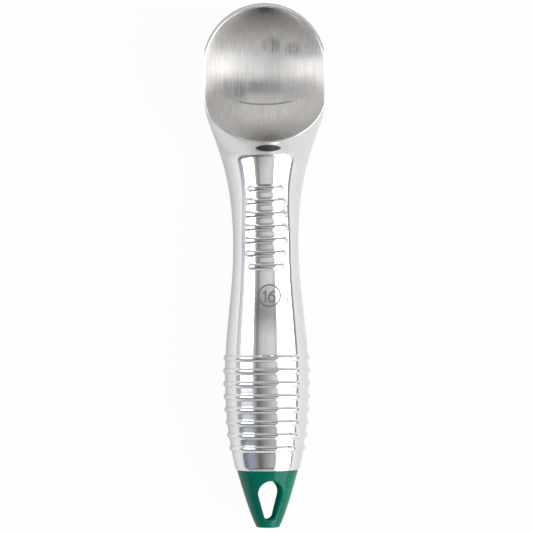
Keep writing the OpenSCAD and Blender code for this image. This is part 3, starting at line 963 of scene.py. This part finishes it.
def mixed_colour(tree, share, low, high):
    """A colour between two others, by a share."""
    return add_node(tree, "ShaderNodeMix", {"data_type": "RGBA"}, _0=share, _6=low, _7=high).outputs[2]


def raise_surface(tree, shader, height, distance):
    """Gives the shader a surface that rises with a height, by a distance at the height of 1."""
    bump = add_node(tree, "ShaderNodeBump", None, Height=height, Distance=distance)
    tree.links.new(bump.outputs[0], shader.inputs["Normal"])


def step_mask(tree, value, start, end):
    """A soft step from 0 at the start to 1 at the end; the start may be the larger."""
    settings = {"clamp": True, "interpolation_type": "SMOOTHSTEP"}
    return add_node(tree, "ShaderNodeMapRange", settings, Value=value, From_Min=start, From_Max=end,
                    To_Min=0.0, To_Max=1.0).outputs[0]


def spot_mask(tree, place, centre, radii, soft=0.15):
    """1 within an egg-shaped spot round a place, 0 outside it."""
    scaled = vector_node(tree, "DIVIDE", vector_node(tree, "SUBTRACT", place, centre), radii)
    length = add_node(tree, "ShaderNodeVectorMath", {"operation": "LENGTH"}, _0=scaled).outputs["Value"]
    return step_mask(tree, length, 1 + soft, 1 - soft)


# Finishes

def polished_aluminium():
    """Hand-polished casting: bright, barely uneven, with a painted dark reflection in the corner of neck and
    bowl.
    """
    material, tree, shader, place = new_material("polished aluminium", Metallic=1.0)
    unevenness = use_drift(tree, place, scale=140.0, low=0.055, high=0.1)
    tone = use_drift(tree, place, scale=60.0)
    lines = use_streaks(tree, place, POLISH_LINES)[0]
    swell = use_drift(tree, place, scale=190.0, low=0.0, high=POLISH_SWELL)
    # Painted dark reflection: a dark spot in the corner of neck and bowl, and a haze round it, rougher and
    # painted darker
    corner = spot_mask(tree, place, DARK_REFLECTION_AT, DARK_REFLECTION_SIZE)
    haze_and_shade = product(tree, spot_mask(tree, place, DARK_REFLECTION_AT, HAZE_AND_SHADE_SIZE, HAZE_AND_SHADE_SOFT), HAZE_AND_SHADE_SHARE)
    tree.links.new(math_node(tree, "ADD", unevenness, haze_and_shade), shader.inputs["Roughness"])
    # The colour is mixed towards the dark tone in the spot and its haze: painted shade, not a duller finish
    dull = math_node(tree, "MAXIMUM", corner, haze_and_shade)
    bright = mixed_colour(tree, tone, POLISH_LOW, POLISH_HIGH)
    tree.links.new(mixed_colour(tree, dull, bright, DARK_REFLECTION_TONE), shader.inputs["Base Color"])
    height = math_node(tree, "ADD", swell, product(tree, lines, POLISH_LINE_SHARE))
    raise_surface(tree, shader, height, POLISH_RELIEF)
    return material


def cast_skin():
    """The raised number: left as it was cast, duller and darker than the polished metal round it."""
    material, tree, shader, place = new_material("cast skin", Metallic=0.1)
    tree.links.new(use_drift(tree, place, scale=1500.0, low=0.45, high=0.6), shader.inputs["Roughness"])
    tone = use_drift(tree, place, scale=700.0)
    tree.links.new(mixed_colour(tree, tone, CAST_LOW, CAST_HIGH), shader.inputs["Base Color"])
    return material


def painted_dark_line(tree, x, past):
    """A thin curved dark line painted across the bowl: painted shade, with no step in the metal under it."""
    outer, inner = PAINTED_LINE_HALF * (1 + PAINTED_LINE_SOFT), PAINTED_LINE_HALF * (1 - PAINTED_LINE_SOFT)
    line = step_mask(tree, math_node(tree, "ABSOLUTE", past), outer, inner)
    reach = step_mask(tree, math_node(tree, "ABSOLUTE", x), *PAINTED_LINE_REACH)
    return product(tree, line, reach, PAINTED_LINE_SHARE)


def painted_dark_band(tree, x, past):
    """A band of painted shade past the line, with a lighter gap left unpainted next to the line's middle."""
    band = product(tree, step_mask(tree, past, *BAND_START), step_mask(tree, past, *BAND_STOP))
    left, right = step_mask(tree, x, *BAND_GAP_LEFT), step_mask(tree, x, *BAND_GAP_RIGHT)
    inside = product(tree, left, right, step_mask(tree, past, *BAND_GAP_STOP))
    near = step_mask(tree, math_node(tree, "ABSOLUTE", x), *BAND_REACH)
    return product(tree, math_node(tree, "SUBTRACT", near, inside), band, BAND_SHARE)


def painted_reflections(tree, place, stroke):
    """Painted shade and reflections in the bowl: a dark line, a band of painted shade past it, and dark
    patches along the deep strokes.
    """
    x, y = add_node(tree, "ShaderNodeSeparateXYZ", None, Vector=place).outputs[:2]
    bow = product(tree, x, x, PAINTED_LINE_CURVE)
    past = math_node(tree, "SUBTRACT", math_node(tree, "SUBTRACT", y, PAINTED_LINE_AT), bow)
    mark = math_node(tree, "MAXIMUM", painted_dark_line(tree, x, past), painted_dark_band(tree, x, past))
    deep = step_mask(tree, stroke, *DEEP_STROKE)
    for centre, radii in PAINTED_REFLECTION_PATCHES:
        patch = product(tree, spot_mask(tree, place, centre, radii, PATCH_SOFT), deep, PATCH_SHARE)
        mark = math_node(tree, "MAXIMUM", mark, patch)
    return mark


def stroke_normal(tree, place, height):
    """The surface's direction under the strokes: uneven across them, and leaning a little along them."""
    lines = add_node(tree, "ShaderNodeBump", None, Height=height, Distance=STROKE_RELIEF).outputs[0]
    lengths = use_streaks(tree, place, LEAN_LINES, roughness=0.5)[0]
    slope = math_node(tree, "MULTIPLY_ADD", lengths, STROKE_LEAN, -STROKE_LEAN / 2)
    lean = add_node(tree, "ShaderNodeCombineXYZ", None, Y=slope).outputs[0]
    return vector_node(tree, "NORMALIZE", vector_node(tree, "ADD", lines, lean))


def brushed_aluminium():
    """Inside of the bowl: straight brush strokes along the handle that draw every highlight out sideways."""
    material, tree, shader, place = new_material("brushed aluminium", Metallic=1.0, Anisotropic=1.0)
    height, fine = use_streaks(tree, place, STROKE_LINES, roughness=0.75)
    rough = math_node(tree, "MULTIPLY_ADD", height, STROKE_ROUGH, BRUSHED_ROUGH)
    wear = use_drift(tree, place, scale=90.0, low=-BRUSHED_WEAR, high=BRUSHED_WEAR)
    tree.links.new(math_node(tree, "ADD", rough, wear), shader.inputs["Roughness"])
    share = add_node(tree, "ShaderNodeMapRange", {"clamp": True}, Value=fine, From_Min=NOISE_LOW,
                     From_Max=NOISE_HIGH).outputs[0]
    metal = mixed_colour(tree, share, BRUSHED_LOW, BRUSHED_HIGH)
    # The base colour is darkened towards one dark tone by the painted line, band and patches
    marked = mixed_colour(tree, painted_reflections(tree, place, height), metal, PAINTED_DARK_TONE)
    tree.links.new(marked, shader.inputs["Base Color"])
    tangent = add_node(tree, "ShaderNodeTangent", {"direction_type": "UV_MAP", "uv_map": BRUSH_MAP})
    tree.links.new(tangent.outputs[0], shader.inputs["Tangent"])
    tree.links.new(stroke_normal(tree, place, height), shader.inputs["Normal"])
    return material


def green_plastic():
    """Glossy moulded plastic, coloured through, with a very slight orange peel."""
    material, tree, shader, place = new_material("green plastic", IOR=1.4, Specular_IOR_Level=0.28)
    tone = use_drift(tree, place, scale=110.0)
    tree.links.new(mixed_colour(tree, tone, CAP_LOW_TONE, CAP_HIGH_TONE), shader.inputs["Base Color"])
    tree.links.new(use_drift(tree, place, scale=260.0, low=0.1, high=0.16), shader.inputs["Roughness"])
    raise_surface(tree, shader, use_drift(tree, place, scale=900.0), PEEL_RELIEF)
    return material


def matt_green_plastic():
    """The wall of the hole: the same plastic, dull where the mould's core drew out, and painted a lighter
    green than the body as painted light.
    """
    material, tree, shader, place = new_material("matt green plastic", IOR=1.4, Specular_IOR_Level=0.0)
    tone = use_drift(tree, place, scale=110.0)
    tree.links.new(mixed_colour(tree, tone, LIT_HOLE_LOW_TONE, LIT_HOLE_HIGH_TONE), shader.inputs["Base Color"])
    tree.links.new(use_drift(tree, place, scale=400.0, low=0.4, high=0.5), shader.inputs["Roughness"])
    return material


def turned_aluminium():
    """The plug: plain turned metal with the tool's rings."""
    material, tree, shader, place = new_material("turned aluminium", Metallic=1.0)
    rings, fine_rings = use_streaks(tree, place, TURNED_LINES)
    tree.links.new(mixed_colour(tree, fine_rings, BRUSHED_LOW, BRUSHED_HIGH), shader.inputs["Base Color"])
    rough = math_node(tree, "MULTIPLY_ADD", rings, TURNED_RING_ROUGH, TURNED_ROUGH)
    tree.links.new(rough, shader.inputs["Roughness"])
    raise_surface(tree, shader, rings, TURNED_RELIEF)
    return material


def seal_rubber():
    """The plug's ring: matt black rubber."""
    material, tree, shader, place = new_material("seal rubber", IOR=1.5)
    tone = use_drift(tree, place, scale=500.0)
    grain = use_drift(tree, place, scale=4000.0, low=0.55, high=0.75)
    tree.links.new(mixed_colour(tree, tone, RUBBER_LOW, RUBBER_HIGH), shader.inputs["Base Color"])
    tree.links.new(grain, shader.inputs["Roughness"])
    raise_surface(tree, shader, grain, RUBBER_RELIEF)
    return material


def charge_liquid():
    """The sealed charge that carries the hand's warmth: a clear pale liquid."""
    material, tree, shader, place = new_material("charge liquid", IOR=1.4, Transmission_Weight=0.85)
    tone = use_drift(tree, place, scale=120.0)
    tree.links.new(mixed_colour(tree, tone, CHARGE_LOW, CHARGE_HIGH), shader.inputs["Base Color"])
    tree.links.new(use_drift(tree, place, scale=300.0, low=0.03, high=0.07), shader.inputs["Roughness"])
    return material


def dress_node(node, material):
    """Gives a solid of the frame its finish."""
    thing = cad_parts[node]
    thing.data.materials.clear()
    thing.data.materials.append(material)


# Studio: three softboxes beside the object, a plain pale room with a darker end, and a white floor

PAGE_PX = 533
LENS_PX = 3500
SENSOR = 36.0
CAMERA_ABOVE = 1.357
CAMERA_X, CAMERA_Y = 0.0002, 0.0001
CAMERA_ROLL = math.radians(-0.44)


def add_softbox(name, away, turn, half_turn, ends, radiance):
    """A softbox beside the object, turned about the handle and facing it."""
    lamp = bpy.data.lights.new(name, "AREA")
    lamp.shape = "RECTANGLE"
    turn = math.radians(turn)
    lamp.size = 2 * away * math.tan(math.radians(half_turn))
    lamp.size_y = ends[1] - ends[0]
    lamp.energy = radiance * LAMP_POWER * lamp.size * lamp.size_y
    box = bpy.data.objects.new(name, lamp)
    box.location = (away * math.sin(turn), sum(ends) / 2, rest_height * MM + away * math.cos(turn))
    box.rotation_euler = (0, turn, 0)
    box.visible_camera = False
    bpy.context.scene.collection.objects.link(box)


def tone_ramp(tree, value, tones):
    """Colours along a value, from a list of places and tones; the places run from the first to the last."""
    first, last = tones[0][0], tones[-1][0]
    share = add_node(tree, "ShaderNodeMapRange", {"clamp": True}, Value=value, From_Min=first,
                     From_Max=last).outputs[0]
    ramp = add_node(tree, "ShaderNodeValToRGB", None, Fac=share)
    elements = ramp.color_ramp.elements
    elements.remove(elements[1])
    for i, (place, tone) in enumerate(tones):
        element = elements[0] if i == 0 else elements.new((place - first) / (last - first))
        element.position = (place - first) / (last - first)
        element.color = (*tone, 1) if isinstance(tone, tuple) else (tone, tone, tone, 1)
    return ramp.outputs["Color"]


def make_room():
    """The room that the metal mirrors, by turn about the handle and way along it; the camera sees white."""
    world = bpy.data.worlds.new("room")
    bpy.context.scene.world = world
    world.use_nodes = True
    tree = world.node_tree
    background = next(node for node in tree.nodes if node.type == "BACKGROUND")
    direction = add_node(tree, "ShaderNodeTexCoord").outputs["Generated"]
    x, y, z = add_node(tree, "ShaderNodeSeparateXYZ", None, Vector=direction).outputs
    turn = math_node(tree, "DEGREES", math_node(tree, "ARCTAN2", x, z))
    tone = tone_ramp(tree, turn, ROOM_TONES)
    tone = mixed_colour(tree, step_mask(tree, y, *AHEAD_FROM), tone, tone_ramp(tree, turn, AHEAD_TONES))
    tone = mixed_colour(tree, step_mask(tree, y, *FAR_FROM), tone, tone_ramp(tree, y, FAR_TONES))
    for start, tones in ((NEAR_FROM, NEAR_TONES), (BACK_FROM, BACK_TONES), (BEHIND_FROM, BEHIND_TONES)):
        tone = mixed_colour(tree, step_mask(tree, y, *start), tone, tone_ramp(tree, turn, tones))
    tone = mixed_colour(tree, step_mask(tree, y, *END_FROM), tone, END_TONE)
    seen = add_node(tree, "ShaderNodeLightPath").outputs["Is Camera Ray"]
    tree.links.new(mixed_colour(tree, seen, tone, WHITE), background.inputs["Color"])


def white_floor():
    """Matt white that the camera and mirrors see lifted towards plain white, so that it keeps the shadow."""
    material, tree, shader = new_material("white floor", Roughness=0.9, Specular_IOR_Level=0.0)[:3]
    shader.inputs["Base Color"].default_value = FLOOR
    output = next(node for node in tree.nodes if node.type == "OUTPUT_MATERIAL")
    glow = add_node(tree, "ShaderNodeEmission", None, Color=WHITE, Strength=1.0)
    path = add_node(tree, "ShaderNodeLightPath")
    seen = product(tree, path.outputs["Is Camera Ray"], FLOOR_GLOW)
    glass = path.outputs["Is Transmission Ray"]
    mirrored = product(tree, math_node(tree, "MAXIMUM", path.outputs["Is Glossy Ray"], glass), FLOOR_MIRRORED)
    mix = add_node(tree, "ShaderNodeMixShader", None, _0=math_node(tree, "MAXIMUM", seen, mirrored),
                   _1=shader.outputs[0], _2=glow.outputs[0])
    tree.links.new(mix.outputs[0], output.inputs["Surface"])
    return material


def make_floor():
    """The floor ends to the right, where the metal mirrors the dark gap below the softbox."""
    mesh = bpy.data.meshes.new("floor")
    corners = [(-FLOOR_REACH, -FLOOR_REACH, 0), (FLOOR_EDGE, -FLOOR_REACH, 0), (FLOOR_EDGE, FLOOR_REACH, 0),
               (-FLOOR_REACH, FLOOR_REACH, 0)]
    mesh.from_pydata(corners, [], [(0, 1, 2, 3)])
    mesh.materials.append(white_floor())
    floor = bpy.data.objects.new("floor", mesh)
    bpy.context.scene.collection.objects.link(floor)


def make_camera():
    """Straight above the middle of the object, at the distance and turn that the photograph shows."""
    lens = bpy.data.cameras.new("camera")
    lens.sensor_width = SENSOR
    lens.lens = LENS_PX / PAGE_PX * SENSOR
    camera = bpy.data.objects.new("camera", lens)
    camera.location = (CAMERA_X, CAMERA_Y, rest_height * MM + CAMERA_ABOVE)
    camera.rotation_euler = (0, 0, CAMERA_ROLL)
    bpy.context.scene.collection.objects.link(camera)
    bpy.context.scene.camera = camera


bpy.context.scene.view_settings.view_transform = "Standard"
make_camera()
make_room()
make_floor()
for softbox in SOFTBOXES:
    add_softbox(*softbox)

make_casting(polished_aluminium(), brushed_aluminium())
make_mark(cast_skin())
make_cap(green_plastic(), matt_green_plastic())
dress_node("seal_plug", turned_aluminium())
dress_node("plug_seal_ring", seal_rubber())
dress_node("heat_charge", charge_liquid())
